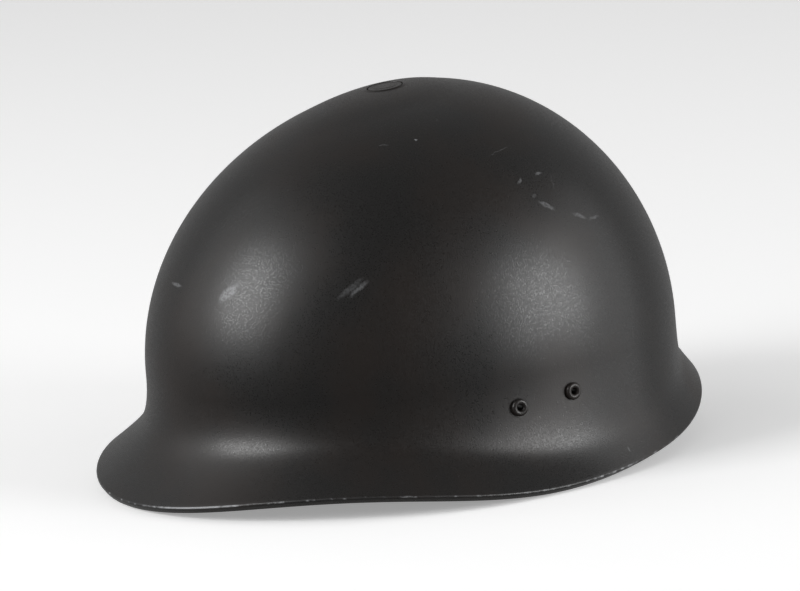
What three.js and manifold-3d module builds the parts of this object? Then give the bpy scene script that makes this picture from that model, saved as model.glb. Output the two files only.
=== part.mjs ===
// A hard combat helmet shell: one moulded dome with a small visor and a flared brim, a round disc
// let in flush at the crown, and two hollow rivets low on each side.
// Millimetres. The helmet stands on its rim: +Z is up, the front faces -Y, the wearer's left is +X.
import * as THREE from "three";
import { mergeVertices } from "three/addons/utils/BufferGeometryUtils.js";
import Module from "manifold-3d";

const wasm = await Module();
wasm.setup();

// Dome, in the wearing frame: its widest line lies in the plane z = 0.
const DOME_FRONT = 128;
const DOME_REAR = 103;
const DOME_HALF_WIDTH = 96.5;
const DOME_HEIGHT = 109;
const PLAN_SQUARENESS = 2.05;
const PLAN_BLEND = 2;
const WALL = 3.2;

// The band under the widest line. Each list runs round one side of the head in equal steps of
// azimuth, from the middle of the front to the middle of the rear.
const RIM_DROP = [40.5, 34.7, 42.5, 44.8, 37.8, 27.4];
const WALL_LEAN = [0.23, 0.09, -0.02];
const BRIM_REACH = [16.5, 17, 9.5, 7, 12.4];
const BRIM_DEPTH = [17, 11.5, 15.5];
const BRIM_FILLET = 6.5;

// The crown disc lies a little ahead of the top, in a blind recess, and a fine groove shows round
// it. Its place is the share of the way from the top of the dome down to the widest line.
const DISC_TRAVEL = 0.066;
const DISC_RADIUS = 7.2;
const DISC_THICKNESS = 1.3;
const DISC_CROWN = 0.15;
const DISC_GAP = 0.35;

// A low pad is pressed up round the disc and runs further ahead of it than behind.
const PAD_HEIGHT = 0.9;
const PAD_HALF_WIDTH = 29;
const PAD_AHEAD = 56;
const PAD_BEHIND = 33;
const PAD_MIDDLE = -DOME_FRONT * Math.sin((DISC_TRAVEL * Math.PI) / 2);

// Hollow rivets, with a rolled head outside and a flange inside, placed by azimuth from the front
// and by their drop below the widest line. The first three sizes are radii.
const RIVET_PLACES = { front: { azimuth: 79, drop: 12.4 }, rear: { azimuth: 94, drop: 10.4 } };
const RIVET_BORE = 1.2;
const RIVET_SHANK = 2.3;
const RIVET_HEAD = 3.6;
const RIVET_HEIGHT = 1.9;
const RIVET_ROLL = 1.1;
const RIVET_FLANGE = 1.0;
const RIVET_GAP = 0.4;

// The helmet tips forward until its visor and both sides touch the surface that it stands on.
const REST_PITCH = THREE.MathUtils.degToRad(1.57);

const AZIMUTH_STEPS = 80;
const DOME_STEPS = 12;
const BAND_STEPS = 11;
const DISC_STEPS = 36;
const RIVET_STEPS = 18;
const ROLL_STEPS = 6;
const NORMAL_STEP = 1e-3;
const UP = new THREE.Vector3(0, 0, 1);

const endHalf = (value, place, last) => (place % last === 0 ? value / 2 : value);

// The smooth even curve round the head through evenly spaced values from front to rear.
function around(values, azimuth) {
  const last = values.length - 1;
  let sum = 0;
  for (let k = 0; k <= last; k++) {
    const terms = values.map((value, j) => endHalf(value, j, last) * Math.cos((Math.PI * k * j) / last));
    const coefficient = (2 / last) * terms.reduce((a, b) => a + b, 0);
    sum += endHalf(coefficient, k, last) * Math.cos(k * azimuth);
  }
  return sum;
}

// Radius of the widest line: a squared oval, longer in front than behind.
function planRadius(azimuth) {
  const ahead = Math.tanh(PLAN_BLEND * Math.cos(azimuth)) / Math.tanh(PLAN_BLEND);
  const length = (DOME_FRONT + DOME_REAR) / 2 + ((DOME_FRONT - DOME_REAR) / 2) * ahead;
  const side = Math.abs(Math.sin(azimuth) / DOME_HALF_WIDTH) ** PLAN_SQUARENESS;
  const end = Math.abs(Math.cos(azimuth) / length) ** PLAN_SQUARENESS;
  return (side + end) ** (-1 / PLAN_SQUARENESS);
}

// How far the brim has turned out, from 0 at the widest line to 1 at the rim: a hyperbola, which is
// straight above and below a soft bend.
function brimTurn(drop, rimDrop, brimDepth) {
  const bend = (d) => (d + Math.hypot(d, BRIM_FILLET)) / 2;
  const start = brimDepth - rimDrop;
  const startSlope = (1 + start / Math.hypot(start, BRIM_FILLET)) / 2;
  const turned = (d) => bend(d + start) - bend(start) - startSlope * d;
  return turned(drop) / turned(rimDrop);
}

// Height of the pressed pad over the plain dome at a place in plan.
function padLift(x, y) {
  const behind = y - PAD_MIDDLE;
  const reach = behind < 0 ? PAD_AHEAD : PAD_BEHIND;
  const out = Math.min(1, Math.hypot(x / PAD_HALF_WIDTH, behind / reach));
  return (PAD_HEIGHT * (1 + Math.cos(Math.PI * out ** 2))) / 2;
}

// Outer surface: travel runs 0 to 1 over the dome and 1 to 2 down the band to the rim.
function outerPoint(azimuth, travel) {
  const polar = (Math.min(travel, 1) * Math.PI) / 2;
  const rimDrop = around(RIM_DROP, azimuth);
  const drop = rimDrop * Math.max(travel - 1, 0);
  const lean = (around(WALL_LEAN, azimuth) * drop * drop) / rimDrop;
  const turn = around(BRIM_REACH, azimuth) * brimTurn(drop, rimDrop, around(BRIM_DEPTH, azimuth));
  const radius = planRadius(azimuth) * Math.sin(polar) + lean + turn;
  const x = radius * Math.sin(azimuth);
  const y = -radius * Math.cos(azimuth);
  const lift = travel < 1 ? padLift(x, y) : 0;
  return new THREE.Vector3(x, y, DOME_HEIGHT * Math.cos(polar) - drop + lift);
}

function outerNormal(azimuth, travel) {
  const t = Math.max(travel, 2 * NORMAL_STEP);
  const along = outerPoint(azimuth, t + NORMAL_STEP).sub(outerPoint(azimuth, t - NORMAL_STEP));
  const round = outerPoint(azimuth + NORMAL_STEP, t).sub(outerPoint(azimuth - NORMAL_STEP, t));
  return along.cross(round).normalize();
}

// A lathe's own seam and poles are merged and its flat triangles dropped, so that it is closed.
function closed(geometry) {
  const bare = geometry.clone();
  bare.deleteAttribute("normal");
  bare.deleteAttribute("uv");
  const merged = mergeVertices(bare, 1e-4);
  const index = merged.index.array;
  const kept = [];
  for (let i = 0; i < index.length; i += 3) {
    const [a, b, c] = index.slice(i, i + 3);
    if (a !== b && b !== c && c !== a) {
      kept.push(a, b, c);
    }
  }
  merged.setIndex(kept);
  return merged;
}

function solid(geometry) {
  const vertProperties = Float32Array.from(geometry.attributes.position.array);
  const triVerts = Uint32Array.from(geometry.index.array);
  return new wasm.Manifold(new wasm.Mesh({ numProp: 3, vertProperties, triVerts }));
}

function geometryOf(manifold) {
  const mesh = manifold.getMesh();
  const geometry = new THREE.BufferGeometry();
  geometry.setAttribute("position", new THREE.BufferAttribute(new Float32Array(mesh.vertProperties), 3));
  geometry.setIndex(new THREE.BufferAttribute(new Uint32Array(mesh.triVerts), 1));
  return geometry;
}

function lathe(profile, segments) {
  const points = profile.map(([radius, height]) => new THREE.Vector2(radius, height));
  return new THREE.LatheGeometry(points, segments).rotateX(Math.PI / 2);
}

// The plain shell: a lathe from the inner crown down to the rim and back up outside, whose vertices
// are then carried onto the helmet's inner and outer surfaces.
function plainShell() {
  const travels = [];
  for (let i = 0; i <= DOME_STEPS; i++) {
    travels.push(i / DOME_STEPS);
  }
  for (let i = 1; i <= BAND_STEPS; i++) {
    travels.push(1 + i / BAND_STEPS);
  }
  const stations = [
    ...travels.map((travel) => ({ travel, inset: WALL })),
    ...travels.toReversed().map((travel) => ({ travel, inset: 0 })),
  ];
  const azimuthStep = (2 * Math.PI) / AZIMUTH_STEPS;
  const carrier = stations.map(({ travel, inset }) => [travel, travel + inset]);
  const geometry = lathe(carrier, AZIMUTH_STEPS);
  const { position, uv } = geometry.attributes;
  for (let i = 0; i < position.count; i++) {
    const { travel, inset } = stations[Math.round(uv.getY(i) * (stations.length - 1))];
    const azimuth = (Math.round(uv.getX(i) * AZIMUTH_STEPS) % AZIMUTH_STEPS) * azimuthStep;
    const normal = travel === 0 ? UP : outerNormal(azimuth, travel);
    const point = outerPoint(azimuth, travel).addScaledVector(normal, -inset);
    position.setXYZ(i, point.x, point.y, point.z);
  }
  return closed(geometry);
}

// A frame on the outer surface with its +Z along the outward normal.
function seat(azimuth, travel) {
  const turn = new THREE.Quaternion().setFromUnitVectors(UP, outerNormal(azimuth, travel));
  return new THREE.Matrix4().compose(outerPoint(azimuth, travel), turn, new THREE.Vector3(1, 1, 1));
}

// The left side is side 1, the right side is side -1.
function rivetSeat({ azimuth, drop }, side) {
  const angle = THREE.MathUtils.degToRad(azimuth);
  return seat(side * angle, 1 + drop / around(RIM_DROP, angle));
}

const DISC_SEAT = seat(0, DISC_TRAVEL);

function discGeometry() {
  const rim = -DISC_CROWN;
  return closed(lathe([
    [0, -DISC_THICKNESS],
    [DISC_RADIUS, -DISC_THICKNESS],
    [DISC_RADIUS, rim],
    [DISC_RADIUS / 2, rim / 4],
    [0, 0],
  ], DISC_STEPS));
}

// Head, shank and inner flange of a hollow rivet, in section round its bore. The head's top is
// rolled over in half an ellipse from its outer wall to the bore.
function rivetGeometry() {
  const inside = -WALL - RIVET_GAP;
  const crest = (RIVET_HEAD + RIVET_BORE) / 2;
  const section = [
    [RIVET_BORE, inside - RIVET_FLANGE],
    [RIVET_HEAD, inside - RIVET_FLANGE],
    [RIVET_HEAD, inside],
    [RIVET_SHANK, inside],
    [RIVET_SHANK, RIVET_GAP],
    [RIVET_HEAD, RIVET_GAP],
  ];
  for (let i = 0; i <= ROLL_STEPS; i++) {
    const turn = (Math.PI * i) / ROLL_STEPS;
    const height = RIVET_HEIGHT - RIVET_ROLL * (1 - Math.sin(turn));
    section.push([crest + (RIVET_HEAD - crest) * Math.cos(turn), height]);
  }
  return closed(lathe([...section, section[0]], RIVET_STEPS));
}

function cylinderCutter(radius, low, high, matrix) {
  const section = [[0, low], [radius, low], [radius, high], [0, high]];
  return solid(closed(lathe(section, DISC_STEPS)).applyMatrix4(matrix));
}

const RIVETS = [];
for (const [sideName, side] of [["left", 1], ["right", -1]]) {
  for (const [placeName, place] of Object.entries(RIVET_PLACES)) {
    RIVETS.push({ name: `rivet_${sideName}_${placeName}`, matrix: rivetSeat(place, side) });
  }
}

function shellGeometry() {
  let shell = solid(plainShell());
  const recessRadius = DISC_RADIUS + DISC_GAP;
  shell = shell.subtract(cylinderCutter(recessRadius, -DISC_THICKNESS - DISC_GAP, WALL, DISC_SEAT));
  for (const { matrix } of RIVETS) {
    shell = shell.subtract(cylinderCutter(RIVET_SHANK + RIVET_GAP, -2 * WALL, WALL, matrix));
  }
  return geometryOf(shell);
}

function meshOf(name, geometry, matrix) {
  const paint = new THREE.MeshStandardMaterial({ name, color: 0x34342f, roughness: 0.45 });
  const mesh = new THREE.Mesh(geometry, paint);
  mesh.name = name;
  if (matrix) {
    matrix.decompose(mesh.position, mesh.quaternion, mesh.scale);
  }
  return mesh;
}

const worn = new THREE.Group();
worn.add(meshOf("shell", shellGeometry()));
worn.add(meshOf("crown_disc", discGeometry(), DISC_SEAT));
for (const { name, matrix } of RIVETS) {
  worn.add(meshOf(name, rivetGeometry(), matrix));
}

// Tip to the resting pose, then stand the box of the whole on the origin.
worn.rotation.x = REST_PITCH;
const helmet = new THREE.Group();
helmet.add(worn);
const box = new THREE.Box3().setFromObject(helmet, true);
worn.position.set(-(box.min.x + box.max.x) / 2, -(box.min.y + box.max.y) / 2, -box.min.z);

export default helmet;
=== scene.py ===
"""A combat helmet shell standing on its rim.

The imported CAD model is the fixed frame. Finer surfaces of the same shape stand for its shell, its
crown disc and its rivets, and carry the paint and its wear. The shape is worked out in millimetres
in the wearing frame (widest line at z = 0, front towards -Y), then carried into the frame in metres.
"""
import math

import bmesh
import bpy
import numpy as np
from mathutils import Matrix, Vector


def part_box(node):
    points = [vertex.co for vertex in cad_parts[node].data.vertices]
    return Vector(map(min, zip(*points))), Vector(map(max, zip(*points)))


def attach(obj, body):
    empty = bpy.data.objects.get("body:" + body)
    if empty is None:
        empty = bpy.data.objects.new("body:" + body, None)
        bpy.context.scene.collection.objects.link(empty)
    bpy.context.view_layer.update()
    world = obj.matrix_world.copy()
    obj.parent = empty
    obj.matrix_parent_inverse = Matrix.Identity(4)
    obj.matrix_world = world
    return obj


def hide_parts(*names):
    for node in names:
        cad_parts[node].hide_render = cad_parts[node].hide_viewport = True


MM = 0.001

# Dome and plan.
DOME_FRONT = 128
DOME_REAR = 103
DOME_HALF_WIDTH = 96.5
DOME_HEIGHT = 109
PLAN_SQUARENESS = 2.05
PLAN_BLEND = 2
WALL = 3.2

# The band under the widest line, by equal steps of azimuth from the front to the rear.
RIM_DROP = (40.5, 34.7, 42.5, 44.8, 37.8, 27.4)
WALL_LEAN = (0.23, 0.09, -0.02)
BRIM_REACH = (16.5, 17, 9.5, 7, 12.4)
BRIM_DEPTH = (17, 11.5, 15.5)
BRIM_FILLET = 6.5

# Crown disc, and the low pad pressed up round it.
DISC_TRAVEL = 0.066
DISC_RADIUS = 7.2
DISC_THICKNESS = 1.3
DISC_CROWN = 0.15
DISC_GAP = 0.35
PAD_HEIGHT = 0.9
PAD_HALF_WIDTH = 29
PAD_AHEAD = 56
PAD_BEHIND = 33
PAD_MIDDLE = -DOME_FRONT * math.sin(DISC_TRAVEL * math.pi / 2)

# Hollow rivets: azimuth in degrees from the front and drop below the widest line.
RIVET_PLACES = {"front": (79, 12.4), "rear": (94, 10.4)}
RIVET_BORE = 1.2
RIVET_SHANK = 2.3
RIVET_HEAD = 3.6
RIVET_HEIGHT = 1.9
RIVET_ROLL = 1.1
RIVET_FLANGE = 1.0
RIVET_GAP = 0.4
RIVET_SEAT = 0.12

REST_PITCH = math.radians(1.57)

# Small radii that the fine surfaces add.
RIM_OUTER_RADIUS = 0.9
RIM_INNER_RADIUS = 0.5
RECESS_RADIUS = 0.35
DISC_EDGE_RADIUS = 0.3

# A shallow line turned in the crown disc: radius, half width and depth.
DISC_LINE = 0.72 * DISC_RADIUS
DISC_LINE_HALF_WIDTH = 0.3
DISC_LINE_DEPTH = 0.12

# Fineness of the surfaces.
SPOKES = 320
DOME_RINGS = 78
BAND_RINGS = 56
ARC_STEPS = 5
PIECE_SPOKES = 72
DISC_SPOKES = 96
HOLE_SPOKES = 48
ROLL_STEPS = 16
NORMAL_STEP = 1e-3

# Height above the rim that stands for anywhere far from its worn edge.
FAR_FROM_RIM = 50


# ---------------------------------------------------------------- shape

def around(values, azimuth):
    """The smooth even curve round the head through evenly spaced values, front to rear."""
    last = len(values) - 1
    half = np.ones(last + 1)
    half[[0, last]] = 0.5
    total = 0
    for k in range(last + 1):
        cosines = np.cos(math.pi * k * np.arange(last + 1) / last)
        coefficient = 2 / last * np.sum(half * values * cosines)
        total = total + half[k] * coefficient * np.cos(k * azimuth)
    return total


def plan_radius(azimuth):
    """Radius of the widest line: a squared oval, longer in front than behind."""
    ahead = np.tanh(PLAN_BLEND * np.cos(azimuth)) / math.tanh(PLAN_BLEND)
    length = (DOME_FRONT + DOME_REAR) / 2 + (DOME_FRONT - DOME_REAR) / 2 * ahead
    side = np.abs(np.sin(azimuth) / DOME_HALF_WIDTH) ** PLAN_SQUARENESS
    end = np.abs(np.cos(azimuth) / length) ** PLAN_SQUARENESS
    return (side + end) ** (-1 / PLAN_SQUARENESS)


def brim_turn(drop, rim_drop, brim_depth):
    """How far the brim has turned out, from 0 at the widest line to 1 at the rim."""
    start = brim_depth - rim_drop
    start_slope = (1 + start / np.hypot(start, BRIM_FILLET)) / 2

    def bend(d):
        return (d + np.hypot(d, BRIM_FILLET)) / 2

    def turned(d):
        return bend(d + start) - bend(start) - start_slope * d

    return turned(drop) / turned(rim_drop)


def pad_lift(x, y):
    """Height of the pressed pad over the plain dome."""
    behind = y - PAD_MIDDLE
    reach = np.where(behind < 0, PAD_AHEAD, PAD_BEHIND)
    out = np.minimum(1, np.hypot(x / PAD_HALF_WIDTH, behind / reach))
    return PAD_HEIGHT * (1 + np.cos(math.pi * out**2)) / 2


def outer_point(azimuth, travel):
    """Outer surface: travel is 0 to 1 over the dome, and 1 to 2 down the band to the rim."""
    polar = np.minimum(travel, 1) * math.pi / 2
    rim_drop = around(RIM_DROP, azimuth)
    drop = rim_drop * np.maximum(travel - 1, 0)
    lean = around(WALL_LEAN, azimuth) * drop * drop / rim_drop
    turn = around(BRIM_REACH, azimuth) * brim_turn(drop, rim_drop, around(BRIM_DEPTH, azimuth))
    radius = plan_radius(azimuth) * np.sin(polar) + lean + turn
    x = radius * np.sin(azimuth)
    y = -radius * np.cos(azimuth)
    lift = np.where(travel < 1, pad_lift(x, y), 0)
    return np.stack(np.broadcast_arrays(x, y, DOME_HEIGHT * np.cos(polar) - drop + lift), -1)


def unit(vectors):
    return vectors / np.linalg.norm(vectors, axis=-1, keepdims=True)


def outer_tangent(azimuth, travel):
    """Unit vector down the outer surface."""
    t = np.maximum(travel, 2 * NORMAL_STEP)
    return unit(outer_point(azimuth, t + NORMAL_STEP) - outer_point(azimuth, t - NORMAL_STEP))


def outer_normal(azimuth, travel):
    """Unit vector out of the outer surface."""
    t = np.maximum(travel, 2 * NORMAL_STEP)
    round_the_head = outer_point(azimuth + NORMAL_STEP, t) - outer_point(azimuth - NORMAL_STEP, t)
    return unit(np.cross(outer_tangent(azimuth, t), round_the_head))


def dome_place(x, y):
    """Azimuth and travel of the dome's surface over a place in plan."""
    azimuth = np.arctan2(x, -y)
    share = np.hypot(x, y) / plan_radius(azimuth)
    return azimuth, np.arcsin(np.minimum(share, 1)) * 2 / math.pi


# ---------------------------------------------------------------- frame

def tipped(points):
    """Wearing frame to resting pose, still in millimetres."""
    y, z = points[..., 1], points[..., 2]
    c, s = math.cos(REST_PITCH), math.sin(REST_PITCH)
    return np.stack([points[..., 0], c * y - s * z, s * y + c * z], -1)


def find_stand():
    """Where the wearing frame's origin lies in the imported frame, from the rim's lowest and
    outermost points and the CAD box."""
    azimuth = np.linspace(0, 2 * math.pi, 720, endpoint=False)
    outer = outer_point(azimuth, 2.0)
    inner = outer - WALL * outer_normal(azimuth, 2.0)
    rim = tipped(np.concatenate([outer, inner])) * MM
    middle = (rim.min(0) + rim.max(0)) / 2
    low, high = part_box("shell")
    box_middle = (low + high) / 2
    return np.array([box_middle.x - middle[0], box_middle.y - middle[1], low.z - rim[:, 2].min()])


def framed(points):
    """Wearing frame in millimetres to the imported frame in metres."""
    return tipped(points) * MM + STAND


def seat(azimuth, travel):
    """A matrix on the outer surface with its Z along the outward normal."""
    point = Vector(framed(outer_point(azimuth, travel)))
    normal = Vector(tipped(outer_normal(azimuth, travel)))
    turn = Vector((0, 0, 1)).rotation_difference(normal)
    return Matrix.LocRotScale(point, turn, None)


# ---------------------------------------------------------------- meshes

def arc(middle, radius, start, end, steps=ARC_STEPS):
    """Points of an arc in a section, from start to end in degrees."""
    angles = np.radians(np.linspace(start, end, steps + 1))
    return [(middle[0] + radius * math.cos(a), middle[1] + radius * math.sin(a)) for a in angles]


def mesh_piece(name, vertices, faces, material):
    mesh = bpy.data.meshes.new(name)
    mesh.from_pydata([tuple(v) for v in vertices], [], faces)
    mesh.validate()
    mesh.materials.append(material)
    piece = bpy.data.objects.new(name, mesh)
    bpy.context.scene.collection.objects.link(piece)
    mesh.shade_smooth()
    return piece


def grid_faces(rings, spokes, closed=False):
    """Quads between rings of vertices. With closed, the last ring joins the first."""
    faces = []
    for ring in range(rings if closed else rings - 1):
        a, b = ring * spokes, (ring + 1) % rings * spokes
        for i in range(spokes):
            j = (i + 1) % spokes
            faces.append((a + i, b + i, b + j, a + j))
    return faces


def turned_piece(name, section, matrix, material, spokes=PIECE_SPOKES):
    """A section turned about Z. One that starts on the axis also ends there and gets its poles
    merged; any other is closed into a ring."""
    on_axis = section[0][0] == 0
    angles = np.linspace(0, 2 * math.pi, spokes, endpoint=False)
    vertices = [matrix @ (Vector((r * math.cos(a), r * math.sin(a), z)) * MM)
                for r, z in section for a in angles]
    piece = mesh_piece(name, vertices, grid_faces(len(section), spokes, closed=not on_axis), material)
    tidy(piece, 1e-7)
    return piece


def tidy(piece, distance):
    """Merges doubled vertices and turns the faces outward."""
    mesh = bmesh.new()
    mesh.from_mesh(piece.data)
    bmesh.ops.remove_doubles(mesh, verts=mesh.verts, dist=distance)
    bmesh.ops.recalc_face_normals(mesh, faces=mesh.faces)
    mesh.to_mesh(piece.data)
    mesh.free()


def recess_rings(azimuth):
    """The disc's blind recess, from the middle of its floor up its wall and over its edge."""
    matrix = seat_in_mm(0, DISC_TRAVEL)
    radius = DISC_RADIUS + DISC_GAP
    floor = -DISC_THICKNESS - DISC_GAP
    section = [(0, floor), (radius, floor), (radius, -RECESS_RADIUS)]
    section += arc((radius + RECESS_RADIUS, -RECESS_RADIUS), RECESS_RADIUS, 180, 100)
    rings = []
    for r, z in section:
        local = np.stack([r * np.sin(azimuth), -r * np.cos(azimuth), np.full_like(azimuth, z)], -1)
        rings.append(local @ matrix[:, :3].T + matrix[:, 3])
    return rings


def seat_in_mm(azimuth, travel):
    """Axes and origin of a seat in the wearing frame, as the columns of a 3 by 4 array."""
    up = outer_normal(azimuth, travel)
    left = unit(np.cross([0, 1, 0], up))
    return np.stack([left, np.cross(up, left), up, outer_point(azimuth, travel)], -1)


def dome_rings(azimuth, start_radius, count):
    """Rings in plan from a circle round the crown disc to the widest line."""
    middle = outer_point(0, DISC_TRAVEL)[:2]
    reach = plan_radius(azimuth)
    around_disc = middle + start_radius * np.stack([np.sin(azimuth), -np.cos(azimuth)], -1)
    widest = reach[:, None] * np.stack([np.sin(azimuth), -np.cos(azimuth)], -1)
    places = []
    for share in np.sin(np.linspace(0, math.pi / 2, count)):
        plan = around_disc * (1 - share) + widest * share
        places.append(dome_place(plan[:, 0], plan[:, 1]))
    return places


def rim_rings(azimuth):
    """Over the rim: a rounded outer edge, the cut face square to the wall, a rounded inner edge."""
    edge = outer_point(azimuth, 2.0)
    down = outer_tangent(azimuth, 2.0)
    out = outer_normal(azimuth, 2.0)
    section = arc((-RIM_OUTER_RADIUS, -RIM_OUTER_RADIUS), RIM_OUTER_RADIUS, 90, 0)
    section += arc((-RIM_INNER_RADIUS, RIM_INNER_RADIUS - WALL), RIM_INNER_RADIUS, 0, -90)
    return [edge + along * down + across * out for along, across in section]


def shell_rings(azimuth):
    """All rings of the closed shell, and a height for each that tells the rim's worn edge. It is
    in mm down the outside, falls in steps over the cut face, and is far below zero inside."""
    rings = recess_rings(azimuth)
    dome = dome_rings(azimuth, DISC_RADIUS + DISC_GAP + RECESS_RADIUS, DOME_RINGS)
    rim_drop = around(RIM_DROP, azimuth)
    last_travel = 2 - RIM_OUTER_RADIUS / rim_drop
    band = [(azimuth, 1 + (last_travel - 1) * i / BAND_RINGS) for i in range(1, BAND_RINGS)]
    rings += [outer_point(*place) for place in dome + band]
    heights = [FAR_FROM_RIM] * (len(rings) - len(band))
    heights += [(2 - travel) * rim_drop for _, travel in band]
    rim = rim_rings(azimuth)
    rings += rim
    heights += [ARC_STEPS * 0.1 - 0.2 * step for step in range(len(rim))]
    inner_dome = dome_rings(azimuth, 0, DOME_RINGS // 2)
    inner = [outer_point(*place) - WALL * outer_normal(*place)
             for place in (inner_dome + band[1::2])[::-1]]
    return rings + inner, heights + [-FAR_FROM_RIM] * len(inner)


def worn_share(azimuth):
    """How worn the rim is round the head."""
    share = RIM_WEAR_ANYWHERE
    for middle, spread, amount in RIM_WEAR:
        apart = np.degrees(np.angle(np.exp(1j * (azimuth - math.radians(middle)))))
        share = share + amount * np.exp(-((apart / spread) ** 2))
    return share


def set_point_values(piece, name, values):
    attribute = piece.data.attributes.new(name, "FLOAT", "POINT")
    attribute.data.foreach_set("value", np.asarray(values, dtype=np.float32))


def make_shell(material):
    azimuth = np.linspace(0, 2 * math.pi, SPOKES, endpoint=False)
    rings, heights = shell_rings(azimuth)
    vertices = framed(np.concatenate(rings))
    piece = mesh_piece("shell_painted", vertices, grid_faces(len(rings), SPOKES), material)
    above_rim = np.concatenate([np.broadcast_to(height, SPOKES) for height in heights])
    set_point_values(piece, "above_rim", above_rim)
    set_point_values(piece, "wear", np.tile(worn_share(azimuth), len(rings)))
    tidy(piece, 1e-6)
    return piece


def drill(piece, matrices, radius):
    """Cuts a round hole through the wall at each seat."""
    for matrix in matrices:
        section = [(0, -2 * WALL), (radius, -2 * WALL), (radius, WALL), (0, WALL)]
        cutter = turned_piece("cutter", section, matrix, piece.data.materials[0], HOLE_SPOKES)
        cut = piece.modifiers.new("hole", "BOOLEAN")
        cut.operation = "DIFFERENCE"
        cut.solver = "MANIFOLD"
        cut.object = cutter
        view = bpy.context.evaluated_depsgraph_get()
        whole = bpy.data.meshes.new_from_object(piece.evaluated_get(view))
        piece.modifiers.clear()
        piece.data = whole
        bpy.data.objects.remove(cutter)


def make_disc(material):
    """The disc is slightly crowned, with a rounded edge and a faint turned line near it."""
    edge = DISC_RADIUS - DISC_EDGE_RADIUS
    rim = -DISC_CROWN
    section = [(0, -DISC_THICKNESS), (DISC_RADIUS, -DISC_THICKNESS)]
    section += arc((edge, rim - DISC_EDGE_RADIUS), DISC_EDGE_RADIUS, 0, 90)
    section += [
        (DISC_LINE + DISC_LINE_HALF_WIDTH, rim * 0.6),
        (DISC_LINE, rim * 0.6 - DISC_LINE_DEPTH),
        (DISC_LINE - DISC_LINE_HALF_WIDTH, rim * 0.45),
    ]
    section += [(r, rim * (r / DISC_RADIUS) ** 2) for r in (4, 3, 2, 1, 0)]
    return turned_piece("crown_disc_painted", section, seat(0, DISC_TRAVEL), material, DISC_SPOKES)


def rivet_section():
    """Inner flange, shank and rolled head, round the bore."""
    inside = -WALL - RIVET_SEAT
    crest = (RIVET_HEAD + RIVET_BORE) / 2
    section = [
        (RIVET_BORE, inside - RIVET_FLANGE),
        (RIVET_HEAD, inside - RIVET_FLANGE),
        (RIVET_HEAD, inside),
        (RIVET_SHANK, inside),
        (RIVET_SHANK, RIVET_SEAT),
        (RIVET_HEAD, RIVET_SEAT),
    ]
    for turn in np.linspace(0, math.pi, ROLL_STEPS + 1):
        height = RIVET_HEIGHT - RIVET_ROLL * (1 - math.sin(turn))
        section.append((crest + (RIVET_HEAD - crest) * math.cos(turn), height))
    return section


def rivet_seats():
    seats = {}
    for side_name, side in (("left", 1), ("right", -1)):
        for place_name, (degrees, drop) in RIVET_PLACES.items():
            azimuth = math.radians(degrees)
            travel = 1 + drop / around(RIM_DROP, azimuth)
            seats[f"rivet_{side_name}_{place_name}"] = seat(side * azimuth, travel)
    return seats


# ---------------------------------------------------------------- materials

PAINT = (0.0088, 0.0083, 0.0080)
PAINT_WARM = (0.0122, 0.0091, 0.0076)
BARE = (0.30, 0.306, 0.318)
CUT_FACE = (0.020, 0.019, 0.018)

# Wear of the rim: azimuth of the middle and spread in degrees, and amount. Most is at the visor.
RIM_WEAR = ((17, 9, 1.0), (98, 22, 0.25), (-40, 20, 0.3), (-115, 35, 0.25), (180, 25, 0.2))
RIM_WEAR_ANYWHERE = 0.1

# Scuffs on the outside: azimuth and travel of the middle, slope in degrees, half length and half
# width in mm, and strength.
SCUFFS = (
    (41.9, 0.738, 42, 8.5, 1.5, 0.12),
    (43.8, 0.740, 42, 5.8, 1.5, 0.23),
    (15.2, 0.742, 46, 7.0, 3.0, 0.62),
    (-1.5, 0.742, 0, 6.0, 0.9, 0.32),
    (103.5, 0.517, 8, 2.4, 0.9, 0.33),
    (94.5, 0.525, 40, 2.2, 0.7, 0.27),
    (97.0, 0.573, 0, 1.6, 0.9, 0.14),
    (99.8, 0.606, -42, 4.8, 1.2, 0.30),
    (109.5, 0.652, -30, 4.6, 1.1, 0.28),
    (114.5, 0.668, -4, 4.6, 0.8, 0.27),
    (59.5, 0.342, 0, 0.7, 0.6, 0.62),
    (46, 0.350, 5, 2.8, 0.35, 0.17),
    (94, 0.425, 12, 7.5, 0.28, 0.15),
    (106.5, 0.550, 72, 6.5, 0.25, 0.12),
    (107, 1.875, 90, 1.6, 0.45, 0.35),
)
SCUFF_DEPTH = 5
SCUFF_WOBBLE = 1.9 * MM

# How far the fine grain and its blotches move the roughness, and how deep the grain and the slow
# waves of the surface are.
GRAIN_GLOSS = 0.1
BLOTCH_GLOSS = 0.012
GRAIN_HEIGHT = 0.05 * MM
WAVE_HEIGHT = 0.5 * MM
RUBBED_ROUGHER = 0.2


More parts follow.
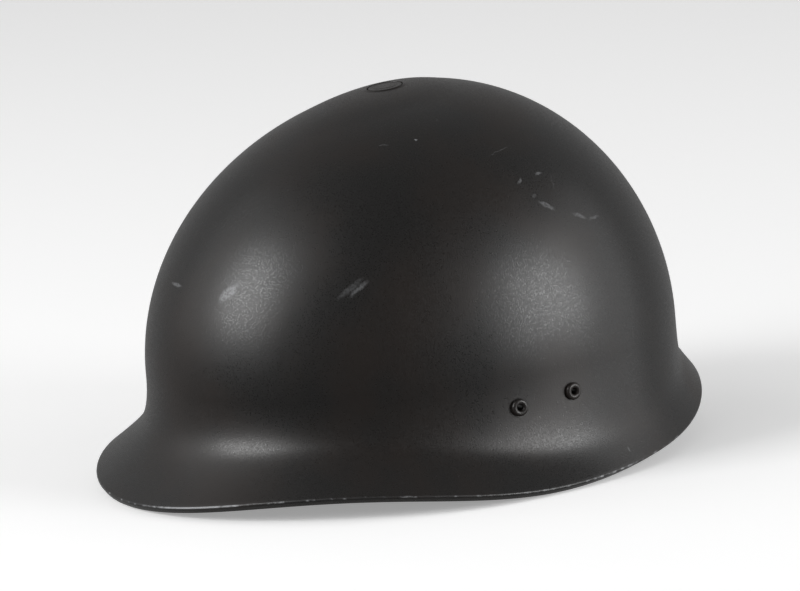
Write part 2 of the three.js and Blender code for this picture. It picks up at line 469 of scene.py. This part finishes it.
class Nodes:
    """Short calls for building one material's nodes."""

    def __init__(self, name):
        self.material = bpy.data.materials.new(name)
        self.material.use_nodes = True
        self.tree = self.material.node_tree
        self.shader = self.tree.nodes["Principled BSDF"]

    def join(self, value, socket):
        """Links a node's output to a socket, or sets the socket to a plain value."""
        if isinstance(value, bpy.types.NodeSocket):
            self.tree.links.new(value, socket)
        else:
            socket.default_value = value

    def node(self, kind, **settings):
        node = self.tree.nodes.new(kind)
        for key, value in settings.items():
            setattr(node, key, value)
        return node

    def place(self):
        return self.node("ShaderNodeTexCoord").outputs["Object"]

    def noise(self, vector, scale, detail=2.0):
        node = self.node("ShaderNodeTexNoise")
        self.join(vector, node.inputs["Vector"])
        node.inputs["Scale"].default_value = scale
        node.inputs["Detail"].default_value = detail
        return node.outputs["Fac"]

    def math(self, operation, a, b=0.0, clamp=False):
        node = self.node("ShaderNodeMath", operation=operation, use_clamp=clamp)
        self.join(a, node.inputs[0])
        self.join(b, node.inputs[1])
        return node.outputs[0]

    def ramp(self, value, low, high, out_low=0.0, out_high=1.0):
        """Carries low..high smoothly to out_low..out_high."""
        node = self.node("ShaderNodeMapRange", interpolation_type="SMOOTHSTEP")
        for socket, given in zip(node.inputs, (value, low, high, out_low, out_high)):
            self.join(given, socket)
        return node.outputs[0]

    def mix(self, share, a, b):
        node = self.node("ShaderNodeMixRGB")
        self.join(share, node.inputs["Fac"])
        self.join(a if isinstance(a, bpy.types.NodeSocket) else (*a, 1), node.inputs["Color1"])
        self.join(b if isinstance(b, bpy.types.NodeSocket) else (*b, 1), node.inputs["Color2"])
        return node.outputs["Color"]

    def value_of(self, attribute):
        return self.node("ShaderNodeAttribute", attribute_name=attribute).outputs["Fac"]

    def bump(self, height, distance, normal=None):
        node = self.node("ShaderNodeBump")
        node.inputs["Distance"].default_value = distance
        self.join(height, node.inputs["Height"])
        if normal:
            self.join(normal, node.inputs["Normal"])
        return node.outputs["Normal"]


def scuff_mask(nodes, place):
    """The strongest of all scuffs at a place, as smooth ovals lying in the surface."""
    wobble = nodes.node("ShaderNodeTexNoise")
    wobble.inputs["Scale"].default_value = 420
    nodes.join(place, wobble.inputs["Vector"])
    shift = nodes.node("ShaderNodeVectorMath", operation="MULTIPLY_ADD")
    nodes.join(wobble.outputs["Color"], shift.inputs[0])
    shift.inputs[1].default_value = (SCUFF_WOBBLE,) * 3
    nodes.join(place, shift.inputs[2])
    mask = 0.0
    for degrees, travel, slope, half_length, half_width, strength in SCUFFS:
        azimuth = math.radians(degrees)
        down = Vector(tipped(outer_tangent(azimuth, travel)))
        out = Vector(tipped(outer_normal(azimuth, travel)))
        along = Matrix.Rotation(math.radians(slope), 3, out) @ down.cross(out) * -1
        across = out.cross(along)
        turn = Matrix((along, across, out)).transposed()
        local = nodes.node("ShaderNodeMapping", vector_type="TEXTURE")
        nodes.join(shift.outputs[0], local.inputs["Vector"])
        middle = framed(outer_point(azimuth, travel)) + SCUFF_WOBBLE / 2
        local.inputs["Location"].default_value = middle
        local.inputs["Rotation"].default_value = turn.to_euler()
        local.inputs["Scale"].default_value = [v * MM for v in (half_length, half_width, SCUFF_DEPTH)]
        far = nodes.node("ShaderNodeVectorMath", operation="LENGTH")
        nodes.join(local.outputs[0], far.inputs[0])
        mask = nodes.math("MAXIMUM", mask, nodes.ramp(far.outputs["Value"], 1.0, 0.4, 0.0, strength))
    return mask


def paint_material(name, scuffed):
    """Thin satin paint with a fine sandy grain, faint warm patches and rubbed specks. A scuffed
    one also has the rim's worn edge, its cut face and the scuffs."""
    nodes = Nodes(name)
    place = nodes.place()
    grain = nodes.noise(place, 1900, 2.5)
    blotches = nodes.noise(place, 500, 3)
    patches = nodes.noise(place, 22, 5)
    waves = nodes.noise(place, 16, 2)

    rubbed = nodes.ramp(nodes.noise(place, 420, 4), 0.72, 0.80, 0.0, 0.06)
    if scuffed:
        wear = nodes.value_of("wear")
        broken = nodes.noise(place, 330, 5)
        above = nodes.value_of("above_rim")
        edge = nodes.ramp(nodes.math("ABSOLUTE", nodes.math("ADD", above, -0.1)), 0.42, 0.05)
        gaps = nodes.math("ADD", nodes.math("MULTIPLY", wear, 0.36), broken)
        edge = nodes.math("MULTIPLY", edge, nodes.ramp(gaps, 0.56, 0.84, 0.04, 1.0))
        streaks = nodes.ramp(nodes.noise(place, 1100, 3), 0.3, 0.6, 0.25, 1.0)
        marks = nodes.math("MULTIPLY", scuff_mask(nodes, place), streaks)
        rubbed = nodes.math("MAXIMUM", rubbed, nodes.math("MAXIMUM", edge, marks))

    colour = nodes.mix(nodes.ramp(patches, 0.4, 0.68), PAINT, PAINT_WARM)
    if scuffed:
        colour = nodes.mix(nodes.ramp(above, -0.3, -0.7), colour, CUT_FACE)
    nodes.join(nodes.mix(rubbed, colour, BARE), nodes.shader.inputs["Base Color"])

    rough = nodes.ramp(patches, 0.35, 0.65, 0.34, 0.38)
    rough = nodes.math("ADD", rough, nodes.ramp(grain, 0.3, 0.7, -GRAIN_GLOSS, GRAIN_GLOSS))
    rough = nodes.math("ADD", rough, nodes.ramp(blotches, 0.3, 0.7, -BLOTCH_GLOSS, BLOTCH_GLOSS))
    rough = nodes.math("ADD", rough, nodes.math("MULTIPLY", rubbed, RUBBED_ROUGHER))
    nodes.join(rough, nodes.shader.inputs["Roughness"])

    normal = nodes.bump(waves, WAVE_HEIGHT)
    nodes.join(nodes.bump(grain, GRAIN_HEIGHT, normal), nodes.shader.inputs["Normal"])
    return nodes.material


def floor_material():
    """Pale and matte, and shining faintly of its own so that it stays nearly white."""
    nodes = Nodes("pale_floor")
    nodes.shader.inputs["Base Color"].default_value = (0.9, 0.9, 0.9, 1)
    nodes.shader.inputs["Roughness"].default_value = 0.9
    nodes.shader.inputs["Specular IOR Level"].default_value = 0.1
    nodes.shader.inputs["Emission Color"].default_value = (1, 1, 1, 1)
    nodes.shader.inputs["Emission Strength"].default_value = FLOOR_GLOW
    return nodes.material


# ---------------------------------------------------------------- stage

CAMERA_AZIMUTH = math.radians(-30.1)
CAMERA_ELEVATION = math.radians(11.8)
CAMERA_ROLL = math.radians(-3.75)
CAMERA_DISTANCE = 2.0
CAMERA_LENS = 212.7
AIM_RIGHT = -0.0146
AIM_UP = 0.0166

# Strength of the dim world on the photographer's side and behind the helmet, and how far round
# from the side the change between them reaches, as cosines.
WORLD_STRENGTH = (0.11, 0.36)
WORLD_CHANGE = (-0.5, 0.6)
FLOOR_RADIUS = 12
FLOOR_GLOW = 0.3

# Soft lights: azimuth and elevation in degrees, distance, width and height in metres, and
# radiance. The last reaches below the floor, for the light that a pale table throws up.
LIGHTS = {
    "left_key": (-94, 29, 2.6, 1.2, 1.3, 7.6),
    "left_wide": (-104, 32, 3.0, 4.6, 3.2, 0.7),
    "right_key": (31, 13, 2.6, 1.1, 1.2, 7),
    "right_wide": (50, 10, 3.0, 3.2, 3.2, 1.1),
}


def direction(azimuth, elevation):
    """Unit vector, with azimuth measured from +X towards +Y, in radians."""
    flat = math.cos(elevation)
    return Vector((flat * math.cos(azimuth), flat * math.sin(azimuth), math.sin(elevation)))


def look_at(thing, place, target, roll=0.0):
    """Puts a camera or a light at place, facing target."""
    back = (place - target).normalized()
    turn = back.to_track_quat("Z", "Y").to_matrix() @ Matrix.Rotation(roll, 3, "Z")
    thing.matrix_world = Matrix.Translation(place) @ turn.to_4x4()


def make_camera(middle):
    """The photograph's viewpoint, aimed a little beside the middle as the photograph is framed."""
    camera = bpy.data.objects.new("camera", bpy.data.cameras.new("camera"))
    bpy.context.scene.collection.objects.link(camera)
    camera.data.lens = CAMERA_LENS
    camera.data.clip_end = 50
    place = middle + CAMERA_DISTANCE * direction(CAMERA_AZIMUTH, CAMERA_ELEVATION)
    look_at(camera, place, middle, CAMERA_ROLL)
    right, up = camera.matrix_world.col[0].xyz, camera.matrix_world.col[1].xyz
    look_at(camera, place, middle + AIM_RIGHT * right + AIM_UP * up, CAMERA_ROLL)
    bpy.context.scene.camera = camera


def softbox(name, target, azimuth, elevation, distance, width, height, radiance):
    """An area light facing target, as bright as radiance wherever it is seen or mirrored."""
    light = bpy.data.objects.new(name, bpy.data.lights.new(name, "AREA"))
    bpy.context.scene.collection.objects.link(light)
    light.data.shape = "RECTANGLE"
    light.data.size = width
    light.data.size_y = height
    light.data.energy = radiance * math.pi * width * height
    place = target + distance * direction(math.radians(azimuth), math.radians(elevation))
    look_at(light, place, target)


def studio_world():
    """Dim all round, and less so behind the helmet than on the photographer's side."""
    world = bpy.data.worlds.new("studio")
    world.use_nodes = True
    tree = world.node_tree
    place = tree.nodes.new("ShaderNodeTexCoord")
    behind = tree.nodes.new("ShaderNodeVectorMath")
    behind.operation = "DOT_PRODUCT"
    behind.inputs[1].default_value = -direction(CAMERA_AZIMUTH, 0)
    strength = tree.nodes.new("ShaderNodeMapRange")
    for socket, value in zip(list(strength.inputs)[1:5], (*WORLD_CHANGE, *WORLD_STRENGTH)):
        socket.default_value = value
    tree.links.new(place.outputs["Generated"], behind.inputs[0])
    tree.links.new(behind.outputs["Value"], strength.inputs["Value"])
    tree.links.new(strength.outputs["Result"], tree.nodes["Background"].inputs["Strength"])
    tree.nodes["Background"].inputs["Color"].default_value = (1, 1, 1, 1)
    return world


def make_stage(middle):
    """The floor, which the shell doesn't mirror, the dim world and the soft lights."""
    bpy.ops.mesh.primitive_circle_add(vertices=96, radius=FLOOR_RADIUS, fill_type="NGON")
    floor = bpy.context.object
    floor.name = "floor"
    floor.data.materials.append(floor_material())
    floor.visible_glossy = False
    bpy.context.scene.world = studio_world()
    bpy.context.scene.view_settings.view_transform = "Standard"
    for name, light in LIGHTS.items():
        softbox(name, middle, *light)


# ---------------------------------------------------------------- scene

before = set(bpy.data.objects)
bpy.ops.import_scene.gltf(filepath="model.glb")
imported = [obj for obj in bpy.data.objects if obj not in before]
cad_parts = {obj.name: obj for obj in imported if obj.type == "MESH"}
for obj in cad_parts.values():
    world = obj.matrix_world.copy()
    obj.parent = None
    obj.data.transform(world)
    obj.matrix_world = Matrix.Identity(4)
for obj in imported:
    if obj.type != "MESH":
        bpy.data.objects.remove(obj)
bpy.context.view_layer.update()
STAND = find_stand()

shell_paint = paint_material("shell_paint", True)
disc_paint = paint_material("disc_paint", False)
rivet_paint = paint_material("rivet_paint", False)

shell = make_shell(shell_paint)
seats = rivet_seats()
drill(shell, seats.values(), RIVET_SHANK + RIVET_GAP)
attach(shell, "root")
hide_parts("shell")

disc = make_disc(disc_paint)
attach(disc, "root")
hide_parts("crown_disc")

for name, matrix in seats.items():
    rivet = turned_piece(name + "_painted", rivet_section(), matrix, rivet_paint)
    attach(rivet, "root")
    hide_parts(name)

widest_middle = Vector(STAND)
make_camera(widest_middle)
make_stage(widest_middle)
